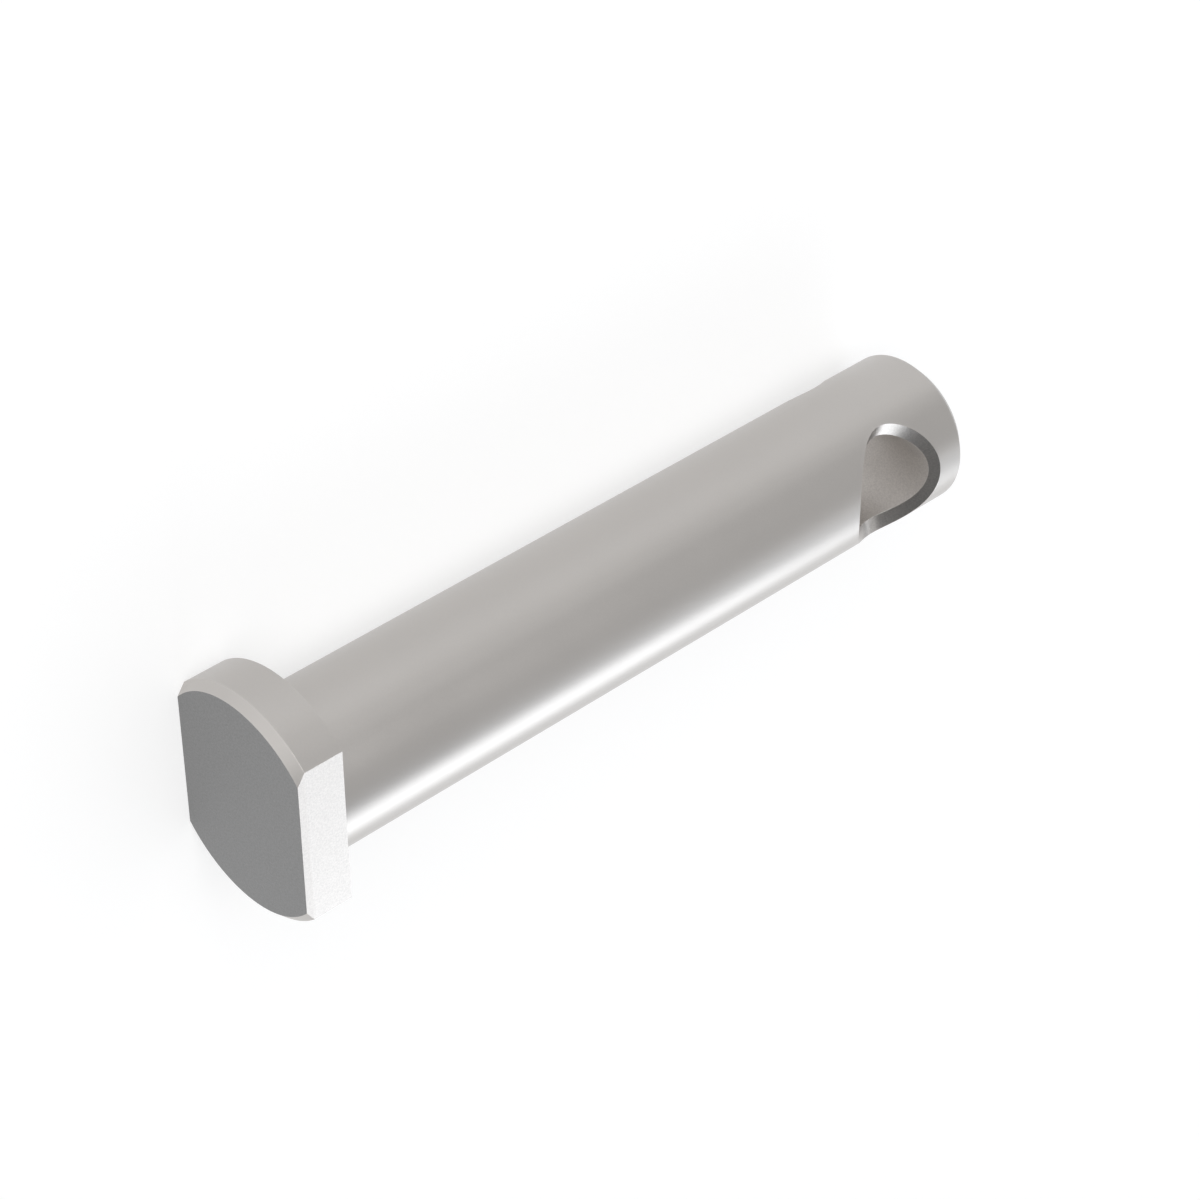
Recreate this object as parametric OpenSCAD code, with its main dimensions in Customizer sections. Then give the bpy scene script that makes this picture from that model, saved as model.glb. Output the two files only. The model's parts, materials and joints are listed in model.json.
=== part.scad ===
// A headed link pin with a cross hole, made as one piece from round bar.
// The pin lies along X, with its head at the low end and its tip at the high end.
// The origin is on the pin's axis, at the seat, which is the face under the head.
// Z is up, along the cross hole. The head's two flats face up and down, and the
// pin lies on the lower one, just clear of its shank.

/* [Shank] */
// Diameter of the shank
shank_d = 19; // [17:0.1:25]
// Length from the seat to the middle of the cross hole
grip_l = 85.4; // [40:0.1:200]
// Length from the middle of the cross hole to the tip
tip_l = 11.7; // [10.5:0.1:30]
// Chamfer round the tip
tip_chamfer = 1.2; // [0.2:0.1:3]

/* [Head] */
// Diameter of the head over its round sides
head_d = 28.6; // [24:0.1:40]
// Thickness of the head
head_t = 6; // [2.5:0.1:14]
// Height of each flat over the side of the shank
flat_rise = 0.55; // [0.1:0.05:1]
// Chamfer round the outer face of the head
head_chamfer = 1; // [0.2:0.1:2]

/* [Cross hole] */
// Diameter of the cross hole
hole_d = 12; // [6:0.1:14]
// Size of the chamfer round each mouth of the cross hole
mouth_chamfer = 1; // [0.2:0.1:1.5]

/* [Hidden] */

shank_r = shank_d / 2;
shank_l = grip_l + tip_l;
head_r = head_d / 2;
hole_r = hole_d / 2;
flat_h = shank_r + flat_rise;

// How far a cutter runs past the metal that it cuts
past = 1;
// Steps of the chamfer round a mouth
mouth_steps = 72;
// Fineness of the round surfaces
$fn = 144;

// The mouth's chamfer is the one that a ball leaves when it rolls round the mouth inside
// the metal and touches the hole's wall and the shank's side at once. The ball's radius
// is the chamfer's size, and its two touching points are the chamfer's two edges, so the
// chamfer widens where the round side of the shank falls away from the hole.
ball_path_r = hole_r + mouth_chamfer;
ball_from_axis = shank_r - mouth_chamfer;
side_scale = shank_r / ball_from_axis;

// Height of the ball's centre at an angle round the hole
function ball_h(a) = sqrt(ball_from_axis ^ 2 - (ball_path_r * sin(a)) ^ 2);

// Where the ball touches the wall of the hole
function wall_edge(a) = [hole_r * cos(a), hole_r * sin(a), ball_h(a)];

// Where the ball touches the side of the shank
function side_edge(a) = [
    ball_path_r * cos(a),
    ball_path_r * sin(a) * side_scale,
    ball_h(a) * side_scale
];

// A point on the straight line over both edges: 0 is the wall's, and 1 is the side's
function chamfer_point(a, t) = wall_edge(a) + t * (side_edge(a) - wall_edge(a));

// The same point moved up or down to a height
function at_height(p, h) = [p.x, p.y, h];

// The two triangles between neighbours i and j of one ring and of the ring over it
function belt_cell(ring, i, j) = [
    [ring + i, ring + mouth_steps + i, ring + j],
    [ring + j, ring + mouth_steps + i, ring + mouth_steps + j]
];

// Cuts the chamfer of the upper mouth. Its foot stands in the drilled hole, and its
// sloping belt runs a little past both edges of the chamfer.
module mouth_cutter() {
    foot_h = 0.5;
    top_h = shank_r + past;
    belt_start = -0.4;
    belt_end = 1.4;
    angles = [for (i = [0:mouth_steps - 1]) 360 * i / mouth_steps];
    rings = [
        [for (a = angles) at_height(chamfer_point(a, belt_start), foot_h)],
        [for (a = angles) chamfer_point(a, belt_start)],
        [for (a = angles) chamfer_point(a, belt_end)],
        [for (a = angles) at_height(chamfer_point(a, belt_end), top_h)]
    ];
    last_ring = (len(rings) - 1) * mouth_steps;
    polyhedron(
        points = [for (ring = rings) each ring],
        faces = [
            [for (i = [0:mouth_steps - 1]) i],
            for (ring = [0:mouth_steps:last_ring - 1], i = [0:mouth_steps - 1])
                each belt_cell(ring, i, (i + 1) % mouth_steps),
            [for (i = [mouth_steps - 1:-1:0]) last_ring + i]
        ]
    );
}

// Puts a shape on the upper side of the pin and again on the lower side
module on_both_sides() {
    for (turn = [0, 180])
        rotate([turn, 0, 0])
            children();
}

// The whole turned outline, from the outer face of the head to the tip
module turned_blank() {
    rotate([0, 90, 0])
        rotate_extrude()
            polygon([
                [0, -head_t],
                [head_r - head_chamfer, -head_t],
                [head_r, -head_t + head_chamfer],
                [head_r, 0],
                [shank_r, 0],
                [shank_r, shank_l - tip_chamfer],
                [shank_r - tip_chamfer, shank_l],
                [0, shank_l]
            ]);
}

// What the mill takes off one side of the head
module flat_cutter() {
    translate([-head_t - past, -head_r - past, flat_h])
        cube([head_t + 2 * past, head_d + 2 * past, head_r]);
}

// The drilled hole, with the chamfers of both its mouths
module cross_hole_cutter() {
    translate([grip_l, 0, 0]) {
        cylinder(d = hole_d, h = shank_d + 2 * past, center = true);
        on_both_sides() mouth_cutter();
    }
}

module link_pin() {
    color([0.70, 0.69, 0.67])
        difference() {
            turned_blank();
            on_both_sides() flat_cutter();
            cross_hole_cutter();
        }
}

link_pin();
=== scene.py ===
import json
import math

import bpy
from mathutils import Matrix, Vector


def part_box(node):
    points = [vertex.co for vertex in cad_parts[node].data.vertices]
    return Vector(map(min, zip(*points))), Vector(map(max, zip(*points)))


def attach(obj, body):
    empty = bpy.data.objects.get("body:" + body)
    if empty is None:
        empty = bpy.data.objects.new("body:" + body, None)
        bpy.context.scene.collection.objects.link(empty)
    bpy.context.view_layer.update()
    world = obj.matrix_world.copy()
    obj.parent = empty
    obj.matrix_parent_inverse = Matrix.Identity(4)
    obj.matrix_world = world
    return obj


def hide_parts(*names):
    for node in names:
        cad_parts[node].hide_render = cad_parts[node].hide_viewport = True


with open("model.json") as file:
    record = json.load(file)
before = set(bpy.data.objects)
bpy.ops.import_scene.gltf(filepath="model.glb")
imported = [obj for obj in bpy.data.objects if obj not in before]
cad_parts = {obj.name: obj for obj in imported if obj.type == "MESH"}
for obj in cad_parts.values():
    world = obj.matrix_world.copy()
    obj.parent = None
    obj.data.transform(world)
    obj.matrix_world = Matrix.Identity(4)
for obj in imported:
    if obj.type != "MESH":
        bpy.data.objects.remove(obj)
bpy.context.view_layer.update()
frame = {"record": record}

MM = 0.001

# Sizes of the pin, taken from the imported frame
low_corner, high_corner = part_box("link_pin")
mounts = {mount["name"]: mount for mount in frame["record"]["mounts"]}
shank_dims = mounts["shank"]["dims"]
hole_dims = mounts["cross_hole"]["dims"]

HEAD_THICKNESS = -low_corner.x
HEAD_RADIUS = high_corner.y
FLAT_HEIGHT = high_corner.z
SHANK_LENGTH = high_corner.x
SHANK_RADIUS = shank_dims["r_mm"] * MM
TIP_CHAMFER = SHANK_LENGTH - shank_dims["length_mm"] * MM
HOLE_PLACE = mounts["cross_hole"]["pos_m"][0]
HOLE_RADIUS = hole_dims["r_mm"] * MM
MOUTH_CHAMFER = SHANK_RADIUS - hole_dims["length_mm"] * MM / 2
PIN_MIDDLE = (low_corner + high_corner) / 2

# The frame doesn't name this size, so it repeats the solid's
HEAD_CHAMFER = 1.0 * MM

# How much the tool's last touch took off each sharp edge
EDGE_BREAK = 0.02 * MM
# An edge that turns further than this is sharp
SHARP_TURN = math.radians(30)
# Points closer together than this are one point
ONE_POINT = EDGE_BREAK / 4

# Faces once round the pin, and along the part of its side that a mouth takes up
FACES_ROUND = 192
FACES_ALONG_MOUTH = 56
# Faces round each end of that part, and once round its whole border
FACES_ROUND_END = FACES_ROUND // 2
FACES_ROUND_MOUTH = 2 * (FACES_ROUND_END + FACES_ALONG_MOUTH)


class Value:
    """A number in a node tree. Arithmetic on it adds the nodes that work it out."""

    def __init__(self, socket):
        self.socket = socket

    def work_out(self, operation, *others):
        tree = self.socket.id_data
        node = tree.nodes.new("ShaderNodeMath")
        node.operation = operation
        for socket, term in zip(node.inputs, (self, *others)):
            supply(socket, term)
        return Value(node.outputs[0])

    def __add__(self, other):
        return self.work_out("ADD", other)

    def __sub__(self, other):
        return self.work_out("SUBTRACT", other)

    def __mul__(self, other):
        return self.work_out("MULTIPLY", other)

    def __truediv__(self, other):
        return self.work_out("DIVIDE", other)

    def __radd__(self, other):
        return self + other

    def __rsub__(self, other):
        return self * -1 + other

    def __rmul__(self, other):
        return self * other

    def __neg__(self):
        return self * -1

    def clamped(self, highest):
        return self.work_out("MAXIMUM", 0).work_out("MINIMUM", highest)


def supply(socket, term):
    """Links a socket to a value in its tree, or sets it to a plain number."""
    if isinstance(term, Value):
        term = term.socket
    if isinstance(term, bpy.types.NodeSocket):
        socket.id_data.links.new(term, socket)
    else:
        socket.default_value = term


def live_socket(sockets, name):
    """The socket of this name that the node's settings have turned on."""
    return next(s for s in sockets if s.name == name and s.enabled)


def add_node(tree, kind, inputs=None, **settings):
    """Adds a node with its settings, and with its inputs by name."""
    node = tree.nodes.new(kind)
    for name, setting in settings.items():
        setattr(node, name, setting)
    for name, term in (inputs or {}).items():
        supply(live_socket(node.inputs, name), term)
    return node


def sin(angle):
    return angle.work_out("SINE")


def cos(angle):
    return angle.work_out("COSINE")


def blend(first, last, share):
    """The point, or number, that is a share of the way from the first to the last."""
    if isinstance(first, tuple):
        return tuple(blend(a, b, share) for a, b in zip(first, last))
    return first + (last - first) * share


# The shape of the pin

PIN_SIZES = {
    "Head thickness": HEAD_THICKNESS,
    "Head radius": HEAD_RADIUS,
    "Head chamfer": HEAD_CHAMFER,
    "Flat height": FLAT_HEIGHT,
    "Shank length": SHANK_LENGTH,
    "Shank radius": SHANK_RADIUS,
    "Tip chamfer": TIP_CHAMFER,
    "Hole place": HOLE_PLACE,
    "Hole radius": HOLE_RADIUS,
    "Mouth chamfer": MOUTH_CHAMFER,
}


class PinSurface:
    """
    The pin's surface as belts of faces, one belt for each cut of the tool.

    Each belt starts as a flat grid. Across the grid, depth runs from 0 at the belt's
    first edge to 1 at its last, and round_share runs from 0 to 1 once round the pin or
    the hole. A belt's place is a point worked out from those two.
    """

    def __init__(self, tree):
        self.tree = tree
        given = add_node(tree, "NodeGroupInput").outputs
        self.head_thickness = Value(given["Head thickness"])
        self.head_radius = Value(given["Head radius"])
        self.head_chamfer = Value(given["Head chamfer"])
        self.flat_height = Value(given["Flat height"])
        self.shank_length = Value(given["Shank length"])
        self.shank_radius = Value(given["Shank radius"])
        self.tip_chamfer = Value(given["Tip chamfer"])
        self.hole_place = Value(given["Hole place"])
        self.hole_radius = Value(given["Hole radius"])
        self.mouth_chamfer = Value(given["Mouth chamfer"])

        # The part of the shank's side round a mouth ends where the tip's chamfer starts
        self.tip_start = self.shank_length - self.tip_chamfer
        self.half_patch = self.tip_start - self.hole_place

        position = add_node(tree, "GeometryNodeInputPosition").outputs[0]
        grid_place = add_node(tree, "ShaderNodeSeparateXYZ", {"Vector": position}).outputs
        self.depth = Value(grid_place["X"]) + 0.5
        self.round_share = Value(grid_place["Y"]) + 0.5
        # Rows that crowd towards both edges of a belt, or only towards its last
        self.crowded = self.depth * self.depth * (3 - self.depth * 2)
        self.outward = self.depth * (2 - self.depth)

    def belt(self, rows, columns, place, cut, dull=0.0, coarse=0.0, fresh=0.0):
        """
        Faces in rows and columns, put in place. Cut is how far the tool had gone at
        each point. The mark before coarse is painted shade: the share of a dark grey mixed
        in to stand in for the darker reflections on these faces. Coarse is 1 where the cut
        left a grain, and the last mark is painted light, a lighter tone, with more roughness.
        """
        mesh = add_node(self.tree, "GeometryNodeMeshGrid", {
            "Size X": 1.0,
            "Size Y": 1.0,
            "Vertices X": rows + 1,
            "Vertices Y": columns + 1,
        }).outputs["Mesh"]
        marks = {"cut": cut, "dull": dull, "coarse": coarse, "fresh": fresh}
        for name, mark in marks.items():
            mesh = add_node(self.tree, "GeometryNodeStoreNamedAttribute", {
                "Geometry": mesh,
                "Name": name,
                "Value": mark,
            }, data_type="FLOAT", domain="CORNER").outputs["Geometry"]
        point = add_node(self.tree, "ShaderNodeCombineXYZ", dict(zip("XYZ", place)))
        return add_node(self.tree, "GeometryNodeSetPosition", {
            "Geometry": mesh,
            "Position": point.outputs["Vector"],
        }).outputs["Geometry"]

    def ring(self, x, radius):
        """A ring round the pin's axis. It starts at the top, over the upper flat."""
        turn = self.round_share * math.tau
        return (x, radius * sin(turn), radius * cos(turn))

    def milled_ring(self, x, radius):
        """A ring with the two flats cut into it, and with a column on each corner."""
        corner = (self.flat_height / radius).work_out("ARCCOSINE")
        wave = (self.round_share * 4 + 0.5).work_out("PINGPONG", 1.0) * 2 - 1
        angle = self.round_share * math.tau + (corner - math.pi / 4) * wave
        reach = (self.flat_height / cos(angle).work_out("ABSOLUTE")).work_out("MINIMUM", radius)
        return (x, reach * sin(angle), reach * cos(angle))

    def head(self):
        """The head's outer face, its chamfer, its side with both flats, and the seat."""
        face_x = -self.head_thickness
        face_radius = self.head_radius - self.head_chamfer
        face_rim = self.milled_ring(face_x, face_radius)
        outer_face = self.belt(
            rows=10, columns=FACES_ROUND,
            place=blend((face_x, 0.0, 0.0), face_rim, self.outward),
            # Full painted shade: the outer face is made darker to stand in for the dark
            # reflection it should show
            cut=face_radius * self.outward,
            dull=1.0, coarse=1.0,
        )
        side_start = face_x + self.head_chamfer
        chamfer_x = blend(face_x, side_start, self.crowded)
        chamfer_radius = blend(face_radius, self.head_radius, self.crowded)
        chamfer = self.belt(
            rows=4, columns=FACES_ROUND,
            place=self.milled_ring(chamfer_x, chamfer_radius),
            cut=chamfer_x,
            # Some painted light makes the head's chamfer lighter
            fresh=0.4,
        )
        side_x = side_start * (1 - self.crowded)
        side = self.belt(
            rows=8, columns=FACES_ROUND,
            place=self.milled_ring(side_x, self.head_radius),
            cut=side_x,
        )
        seat_rim = self.milled_ring(0.0, self.head_radius)
        shank_foot = self.ring(0.0, self.shank_radius)
        seat = self.belt(
            rows=3, columns=FACES_ROUND,
            place=blend(seat_rim, shank_foot, self.depth),
            cut=blend(self.head_radius, self.shank_radius, self.depth),
            # Some painted shade darkens the seat under the head
            dull=0.3, coarse=1.0,
        )
        return [outer_face, chamfer, side, seat]

    def shank(self):
        """The shank's side as far as the mouths, and the tip's chamfer and end face."""
        side_x = (self.hole_place - self.half_patch) * self.crowded
        side = self.belt(
            rows=40, columns=FACES_ROUND,
            place=self.ring(side_x, self.shank_radius),
            cut=side_x,
        )
        tip_radius = self.shank_radius - self.tip_chamfer
        chamfer_x = blend(self.tip_start, self.shank_length, self.crowded)
        chamfer_radius = blend(self.shank_radius, tip_radius, self.crowded)
        chamfer = self.belt(
            rows=4, columns=FACES_ROUND,
            place=self.ring(chamfer_x, chamfer_radius),
            cut=chamfer_x,
            # Some painted shade darkens the tip's chamfer
            dull=0.4,
        )
        end_radius = tip_radius * (1 - self.depth * self.depth)
        end_face = self.belt(
            rows=8, columns=FACES_ROUND,
            place=self.ring(self.shank_length, end_radius),
            cut=end_radius,
            # Painted shade, at half strength, darkens the tip's end face
            dull=0.5, coarse=1.0,
        )
        return [side, chamfer, end_face]

    def mouth_border(self):
        """
        The border of the part of the shank's side round a mouth, as a place along the
        pin from the hole's middle and an angle from the top.

        That part is a rectangle when it is rolled out flat, so once round is half a
        turn up one end, along one side, half a turn down the other end, and back.
        """
        step = self.round_share * FACES_ROUND_MOUTH
        up = step.clamped(FACES_ROUND_END)
        along = (step - FACES_ROUND_END).clamped(FACES_ALONG_MOUTH)
        down = (step - FACES_ROUND_END - FACES_ALONG_MOUTH).clamped(FACES_ROUND_END)
        back = (step - FACES_ROUND - FACES_ALONG_MOUTH).clamped(FACES_ALONG_MOUTH)
        border_x = self.half_patch * (1 - (along - back) * (2 / FACES_ALONG_MOUTH))
        border_angle = (up - down) * (math.pi / FACES_ROUND_END) - math.pi / 2
        return border_x, border_angle

    def mouth(self):
        """
        One mouth of the cross hole: the hole's wall from its middle up, the mouth's
        chamfer, and the half of the shank's side that surrounds it.

        The chamfer is the one that a ball leaves when it rolls round inside the metal
        and touches the hole's wall and the shank's side at once, as in the solid.
        """
        border_x, border_angle = self.mouth_border()
        ball_path_r = self.hole_radius + self.mouth_chamfer
        ball_from_axis = self.shank_radius - self.mouth_chamfer
        side_scale = self.shank_radius / ball_from_axis

        widest_angle = (ball_path_r / ball_from_axis).work_out("ARCSINE")
        hole_angle = (border_angle / widest_angle).work_out("ARCTAN2", border_x / ball_path_r)
        ball_x = ball_path_r * cos(hole_angle)
        ball_y = ball_path_r * sin(hole_angle)
        ball_h = (ball_from_axis * ball_from_axis - ball_y * ball_y).work_out("SQRT")
        wall_foot = (self.hole_radius * cos(hole_angle), self.hole_radius * sin(hole_angle), 0.0)
        wall_edge = (*wall_foot[:2], ball_h)
        side_edge = (ball_x, ball_y * side_scale, ball_h * side_scale)
        side_edge_angle = (ball_y / ball_from_axis).work_out("ARCSINE")

        hole_wall = self.belt(
            rows=10, columns=FACES_ROUND_MOUTH,
            place=blend(wall_foot, wall_edge, self.crowded),
            cut=ball_h * self.crowded,
            # Full painted light makes the hole's wall lighter, standing in for light inside the
            # hole
            coarse=1.0, fresh=1.0,
        )
        chamfer = self.belt(
            rows=5, columns=FACES_ROUND_MOUTH,
            place=blend(wall_edge, side_edge, self.crowded),
            cut=self.mouth_chamfer * self.crowded,
            coarse=1.0,
        )
        side_x = blend(ball_x, border_x, self.depth)
        side_angle = blend(side_edge_angle, border_angle, self.depth)
        side_y = self.shank_radius * sin(side_angle)
        side_z = self.shank_radius * cos(side_angle)
        side = self.belt(
            rows=12, columns=FACES_ROUND_MOUTH,
            place=(side_x, side_y, side_z),
            cut=side_x + self.hole_place,
        )
        return [hole_wall, chamfer, side]


def join(tree, parts):
    """Joins parts in this order. The node lists its newest link first."""
    joined = add_node(tree, "GeometryNodeJoinGeometry")
    for part in reversed(parts):
        supply(joined.inputs[0], part)
    return joined.outputs["Geometry"]


def on_both_sides(tree, mouth, hole_place):
    """The same mouth on the upper side and, half a turn on, on the lower side."""
    hole_centre = add_node(tree, "ShaderNodeCombineXYZ", {"X": hole_place})
    two_points = add_node(tree, "GeometryNodeMeshLine", {
        "Count": 2,
        "Start Location": hole_centre.outputs["Vector"],
        "Offset": (0.0, 0.0, 0.0),
    })
    which = Value(add_node(tree, "GeometryNodeInputIndex").outputs[0])
    half_turn = add_node(tree, "ShaderNodeCombineXYZ", {"X": which * math.pi})
    return add_node(tree, "GeometryNodeInstanceOnPoints", {
        "Points": two_points.outputs["Mesh"],
        "Instance": mouth,
        "Rotation": half_turn.outputs["Vector"],
    }).outputs["Instances"]


def mark_edges(tree, surface):
    """
    Marks the edges that stand out, which the tool breaks and use rubs, and shades the
    surface smooth but for the corner under the head, which stays sharp.
    """
    edge_angle = add_node(tree, "GeometryNodeInputMeshEdgeAngle").outputs
    proud = Value(edge_angle["Signed Angle"]).work_out("GREATER_THAN", SHARP_TURN)
    inner = Value(edge_angle["Signed Angle"]).work_out("LESS_THAN", -SHARP_TURN)
    on_edges = add_node(tree, "GeometryNodeFieldOnDomain", {
        "Value": proud,
    }, domain="EDGE", data_type="FLOAT")
    at_edge = Value(on_edges.outputs[0]).work_out("GREATER_THAN", 0.0)
    rubbed = add_node(tree, "GeometryNodeStoreNamedAttribute", {
        "Geometry": surface,
        "Name": "edge",
        "Value": at_edge,
    }, data_type="FLOAT", domain="POINT")
    to_break = add_node(tree, "GeometryNodeStoreNamedAttribute", {
        "Geometry": rubbed.outputs["Geometry"],
        "Name": "bevel_weight_edge",
        "Value": proud,
    }, data_type="FLOAT", domain="EDGE")
    smooth = add_node(tree, "GeometryNodeSetShadeSmooth", {
        "Geometry": to_break.outputs["Geometry"],
    })
    return add_node(tree, "GeometryNodeSetShadeSmooth", {
        "Geometry": smooth.outputs["Geometry"],
        "Selection": inner,
        "Shade Smooth": False,
    }, domain="EDGE").outputs["Geometry"]


def pin_tree(steel):
    """The tree that makes the whole pin, with the pin's sizes as its named inputs."""
    tree = bpy.data.node_groups.new("turned_pin", "GeometryNodeTree")
    for name, size in PIN_SIZES.items():
        socket = tree.interface.new_socket(name, in_out="INPUT", socket_type="NodeSocketFloat")
        socket.subtype = "DISTANCE"
        socket.default_value = size
    tree.interface.new_socket("Pin", in_out="OUTPUT", socket_type="NodeSocketGeometry")

    surface = PinSurface(tree)
    one_mouth = join(tree, surface.mouth())
    mouths = on_both_sides(tree, one_mouth, surface.hole_place)
    real = add_node(tree, "GeometryNodeRealizeInstances", {
        "Geometry": join(tree, [*surface.head(), *surface.shank(), mouths]),
    })
    closed = add_node(tree, "GeometryNodeMergeByDistance", {
        "Geometry": real.outputs["Geometry"],
        "Distance": ONE_POINT,
    })
    painted = add_node(tree, "GeometryNodeSetMaterial", {
        "Geometry": mark_edges(tree, closed.outputs["Geometry"]),
        "Material": steel,
    })
    add_node(tree, "NodeGroupOutput", {"Pin": painted.outputs["Geometry"]})
    return tree


def make_pin(steel):
    """The whole pin as one plain mesh, with its outer edges just broken."""
    tree = pin_tree(steel)
    pattern = bpy.data.objects.new("pin_pattern", bpy.data.meshes.new("pin_pattern"))
    bpy.context.scene.collection.objects.link(pattern)
    shape = pattern.modifiers.new("shape", "NODES")
    shape.node_group = tree
    for item in tree.interface.items_tree:
        if item.in_out == "INPUT":
            shape[item.identifier] = PIN_SIZES[item.name]

    broken = pattern.modifiers.new("broken_edges", "BEVEL")
    broken.width = EDGE_BREAK
    broken.segments = 2
    broken.limit_method = "WEIGHT"
    broken.harden_normals = True

    seen = pattern.evaluated_get(bpy.context.evaluated_depsgraph_get())
    mesh = bpy.data.meshes.new_from_object(seen)
    mesh.name = "turned_link_pin"
    bpy.data.objects.remove(pattern)
    pin = bpy.data.objects.new("turned_link_pin", mesh)
    bpy.context.scene.collection.objects.link(pin)
    return pin


# The finish of the steel

BARE_STEEL = (0.492, 0.472, 0.454, 1.0)
# Painted shade: a dark grey mixed into the end faces, the seat and the tip's chamfer, standing
# in for their darker reflections
PAINTED_SHADE_GREY = (0.230, 0.230, 0.230, 1.0)

# How closely the grain, the cloudy patches and the tool marks are set, for one metre
GRAIN_SCALE = 4800.0
PATCH_SCALE = 90.0
TOOL_MARK_SCALE = 4200.0

# How far the patches and the grain change the steel's tone, on smooth and coarse cuts
PATCH_TONE = 0.05
SMOOTH_GRAIN_TONE = 0.06
COARSE_GRAIN_TONE = 0.50

# How much lighter painted light makes the hole's wall and the head's chamfer, and how much
# lighter a milled flat and a rubbed edge are
PAINTED_LIGHT_TONE = 0.32
MILLED_TONE = 0.09
EDGE_TONE = 0.04

# The steel's roughness, and how far the grain, the patches and the painted-light mark change it
SATIN_ROUGHNESS = 0.34
GRAIN_ROUGHNESS = 0.10
PATCH_ROUGHNESS = 0.05
EXTRA_ROUGHNESS = 0.20

# How high the grain stands, and how high the tool marks stand beside it
GRAIN_HEIGHT = 0.006 * MM
TOOL_MARK_SHARE = 0.35


def satin_steel():
    """Bare steel with a fine even grain, faint tool marks and rubbed edges, painted shade on its
    end faces, seat and tip's chamfer, and painted light on the hole's wall and the head's
    chamfer.
    """
    material = bpy.data.materials.new("satin_steel")
    material.use_nodes = True
    tree = material.node_tree
    tree.nodes.clear()
    place = add_node(tree, "ShaderNodeTexCoord").outputs["Object"]

    def mark(name):
        return Value(add_node(tree, "ShaderNodeAttribute", attribute_name=name).outputs["Fac"])

    def noise(scale, detail):
        return Value(add_node(tree, "ShaderNodeTexNoise", {
            "Vector": place,
            "Scale": scale,
            "Detail": detail,
        }).outputs["Fac"])

    grain = noise(GRAIN_SCALE, detail=2.0)
    patches = noise(PATCH_SCALE, detail=3.0)
    tool_marks = Value(add_node(tree, "ShaderNodeTexNoise", {
        "W": mark("cut"),
        "Scale": TOOL_MARK_SCALE,
        "Detail": 2.0,
    }, noise_dimensions="1D").outputs["Fac"])

    # The flats are cut across the belts, so they are known by their height
    height_up = Value(add_node(tree, "ShaderNodeSeparateXYZ", {"Vector": place}).outputs["Z"])
    flat_start = FLAT_HEIGHT - 2 * EDGE_BREAK
    milled = height_up.work_out("ABSOLUTE").work_out("GREATER_THAN", flat_start)
    coarse = mark("coarse").work_out("MAXIMUM", milled)
    fresh = mark("fresh")
    edge = mark("edge").work_out("POWER", 2.0)

    # Painted shade: the dark grey mixed in where the painted-shade mark is set
    painted_shade_mix = add_node(tree, "ShaderNodeMix", {
        "Factor": mark("dull"),
        "A": BARE_STEEL,
        "B": PAINTED_SHADE_GREY,
    }, data_type="RGBA")
    speckle = (grain - 0.5) * (SMOOTH_GRAIN_TONE + coarse * COARSE_GRAIN_TONE)
    cloud = (patches - 0.5) * PATCH_TONE
    # The first term is painted light on the hole's wall and the head's chamfer; the others
    # lighten the milled flats and the rubbed edges
    lift = fresh * PAINTED_LIGHT_TONE + milled * MILLED_TONE + edge * EDGE_TONE
    colour = add_node(tree, "ShaderNodeVectorMath", {
        "Vector": live_socket(painted_shade_mix.outputs, "Result"),
        "Scale": 1.0 + cloud + speckle + lift,
    }, operation="SCALE")
    grain_roughness = (grain - 0.5) * GRAIN_ROUGHNESS
    patch_roughness = (patches - 0.5) * PATCH_ROUGHNESS
    cut_roughness = SATIN_ROUGHNESS + fresh * EXTRA_ROUGHNESS
    bump = add_node(tree, "ShaderNodeBump", {
        "Height": grain + tool_marks * TOOL_MARK_SHARE,
        "Distance": GRAIN_HEIGHT,
        "Strength": 1.0,
    })
    steel = add_node(tree, "ShaderNodeBsdfPrincipled", {
        "Base Color": colour.outputs["Vector"],
        "Metallic": 1.0,
        "Roughness": cut_roughness + grain_roughness + patch_roughness,
        "Normal": bump.outputs["Normal"],
    })
    add_node(tree, "ShaderNodeOutputMaterial", {"Surface": steel.outputs["BSDF"]})
    return material


# The studio

FLOOR_SIZE = 1.8
# The floor is white paper, which keeps the pin's shadow. What the eye and the steel see
# of it also has a glow of its own, which makes it plain white.
FLOOR_WHITE = 0.38
FLOOR_GLOW = 0.645

# The plain white behind the floor ends at this height on a round sky of radius 1, and
# fades away over this much below it
WHITE_TOP = math.sin(math.radians(18))
WHITE_FADE = math.sin(math.radians(8))
ROOM_LIGHT = 0.12

SOFTBOX_DISTANCE = 1.2
PLAIN_LIGHT = (1.0, 1.0, 1.0)
COOL_LIGHT = (0.96, 1.0, 1.045)

# Where the camera stands: how far from the pin's middle, how far over on its +Y side,
# and how far round from the head's end towards the upper flat. Its lens is in mm.
CAMERA_DISTANCE = 375.9 * MM
CAMERA_ELEVATION = math.radians(37.79)
CAMERA_SWING = math.radians(46.94)
CAMERA_LENS = 99.24


def seen_share(tree):
    """1 for what the eye, the steel's gloss or glass sees, and 0 for all other light."""
    ray = add_node(tree, "ShaderNodeLightPath").outputs
    seen = Value(ray["Is Camera Ray"]) + Value(ray["Is Glossy Ray"])
    return (seen + Value(ray["Is Transmission Ray"])).clamped(1.0)


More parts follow.
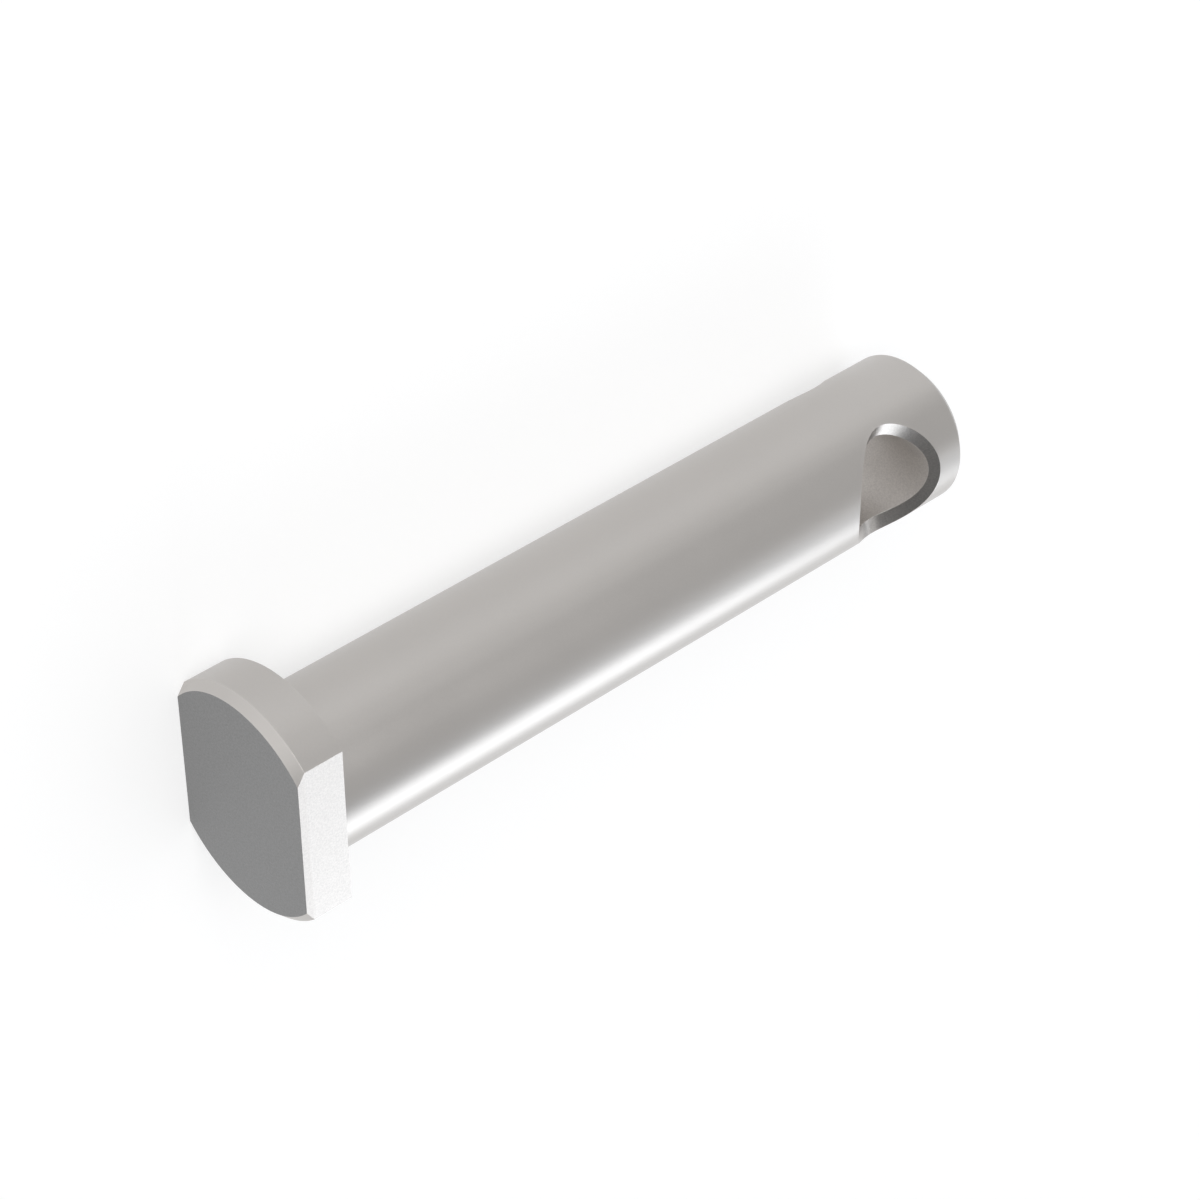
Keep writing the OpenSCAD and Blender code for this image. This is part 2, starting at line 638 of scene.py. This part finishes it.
def make_world():
    """A dim room. The eye and the steel see plain white low down behind the floor."""
    world = bpy.data.worlds.new("studio")
    world.use_nodes = True
    tree = world.node_tree
    tree.nodes.clear()
    direction = add_node(tree, "ShaderNodeTexCoord").outputs["Generated"]
    height = Value(add_node(tree, "ShaderNodeSeparateXYZ", {"Vector": direction}).outputs["Z"])
    low_down = ((WHITE_TOP - height) / WHITE_FADE).clamped(1.0)
    room = add_node(tree, "ShaderNodeBackground", {
        "Color": (1.0, 1.0, 1.0, 1.0),
        "Strength": ROOM_LIGHT + seen_share(tree) * low_down * (1 - ROOM_LIGHT),
    })
    add_node(tree, "ShaderNodeOutputWorld", {"Surface": room.outputs["Background"]})
    return world


def floor_white():
    """White paper, made up to plain white where the eye or the steel sees it."""
    material = bpy.data.materials.new("floor_white")
    material.use_nodes = True
    tree = material.node_tree
    tree.nodes.clear()
    paper = add_node(tree, "ShaderNodeBsdfDiffuse", {
        "Color": (FLOOR_WHITE, FLOOR_WHITE, FLOOR_WHITE, 1.0),
    })
    glow = add_node(tree, "ShaderNodeEmission", {"Strength": seen_share(tree) * FLOOR_GLOW})
    both = add_node(tree, "ShaderNodeAddShader")
    supply(both.inputs[0], paper.outputs["BSDF"])
    supply(both.inputs[1], glow.outputs["Emission"])
    add_node(tree, "ShaderNodeOutputMaterial", {"Surface": both.outputs["Shader"]})
    return material


def make_floor():
    """A square of white paper, level with the flat that the pin lies on."""
    half = FLOOR_SIZE / 2
    corners = [(-half, -half), (half, -half), (half, half), (-half, half)]
    mesh = bpy.data.meshes.new("floor")
    mesh.from_pydata([(x, y, -FLAT_HEIGHT) for x, y in corners], [], [(0, 1, 2, 3)])
    mesh.materials.append(floor_white())
    floor = bpy.data.objects.new("floor", mesh)
    bpy.context.scene.collection.objects.link(floor)
    return floor


def make_softbox(name, azimuth, elevation, wide, high, brightness, colour):
    """
    A softbox that faces the pin. It stands in this direction from the pin, and looks so
    wide and high from there, all in degrees. At a brightness of 1 it looks plain white.
    """
    light = bpy.data.lights.new(name, "AREA")
    light.shape = "RECTANGLE"
    light.size = 2 * SOFTBOX_DISTANCE * math.tan(math.radians(wide / 2))
    light.size_y = 2 * SOFTBOX_DISTANCE * math.tan(math.radians(high / 2))
    light.energy = brightness * math.pi * light.size * light.size_y
    light.color = colour
    lamp = bpy.data.objects.new(name, light)
    level = math.cos(math.radians(elevation))
    away = Vector((
        level * math.cos(math.radians(azimuth)),
        level * math.sin(math.radians(azimuth)),
        math.sin(math.radians(elevation)),
    ))
    lamp.location = PIN_MIDDLE + away * SOFTBOX_DISTANCE
    lamp.rotation_euler = away.to_track_quat("Z", "Y").to_euler()
    lamp.visible_camera = False
    bpy.context.scene.collection.objects.link(lamp)


def make_softboxes():
    """Three plain softboxes on the pin's +Y side, and two cooler ones on the other."""
    make_softbox(
        "key_softbox", azimuth=121, elevation=46, wide=51, high=58,
        brightness=2.60, colour=PLAIN_LIGHT,
    )
    make_softbox(
        "overhead_softbox", azimuth=30, elevation=52, wide=80, high=66,
        brightness=0.57, colour=PLAIN_LIGHT,
    )
    make_softbox(
        "low_softbox", azimuth=85, elevation=22, wide=90, high=20,
        brightness=0.28, colour=PLAIN_LIGHT,
    )
    make_softbox(
        "side_softbox", azimuth=300, elevation=33, wide=72, high=34,
        brightness=1.11, colour=COOL_LIGHT,
    )
    make_softbox(
        "strip_softbox", azimuth=287, elevation=27, wide=46, high=26,
        brightness=1.58, colour=COOL_LIGHT,
    )


def make_camera():
    """The camera as in the photograph, where the pin's +Y side is up."""
    camera_data = bpy.data.cameras.new("camera")
    camera_data.lens = CAMERA_LENS
    camera_data.clip_start = CAMERA_DISTANCE / 100
    camera = bpy.data.objects.new("camera", camera_data)
    level = math.cos(CAMERA_ELEVATION)
    away = Vector((
        -level * math.cos(CAMERA_SWING),
        math.sin(CAMERA_ELEVATION),
        level * math.sin(CAMERA_SWING),
    ))
    right = Vector((0.0, 1.0, 0.0)).cross(away).normalized()
    up = away.cross(right)
    axes = Matrix((right, up, away)).transposed().to_4x4()
    camera.matrix_world = Matrix.Translation(PIN_MIDDLE + away * CAMERA_DISTANCE) @ axes
    bpy.context.scene.collection.objects.link(camera)
    return camera


# The whole scene

pin = make_pin(satin_steel())
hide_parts("link_pin")
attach(pin, "root")

make_floor()
make_softboxes()
bpy.context.scene.world = make_world()
bpy.context.scene.camera = make_camera()
bpy.context.scene.view_settings.view_transform = "Standard"
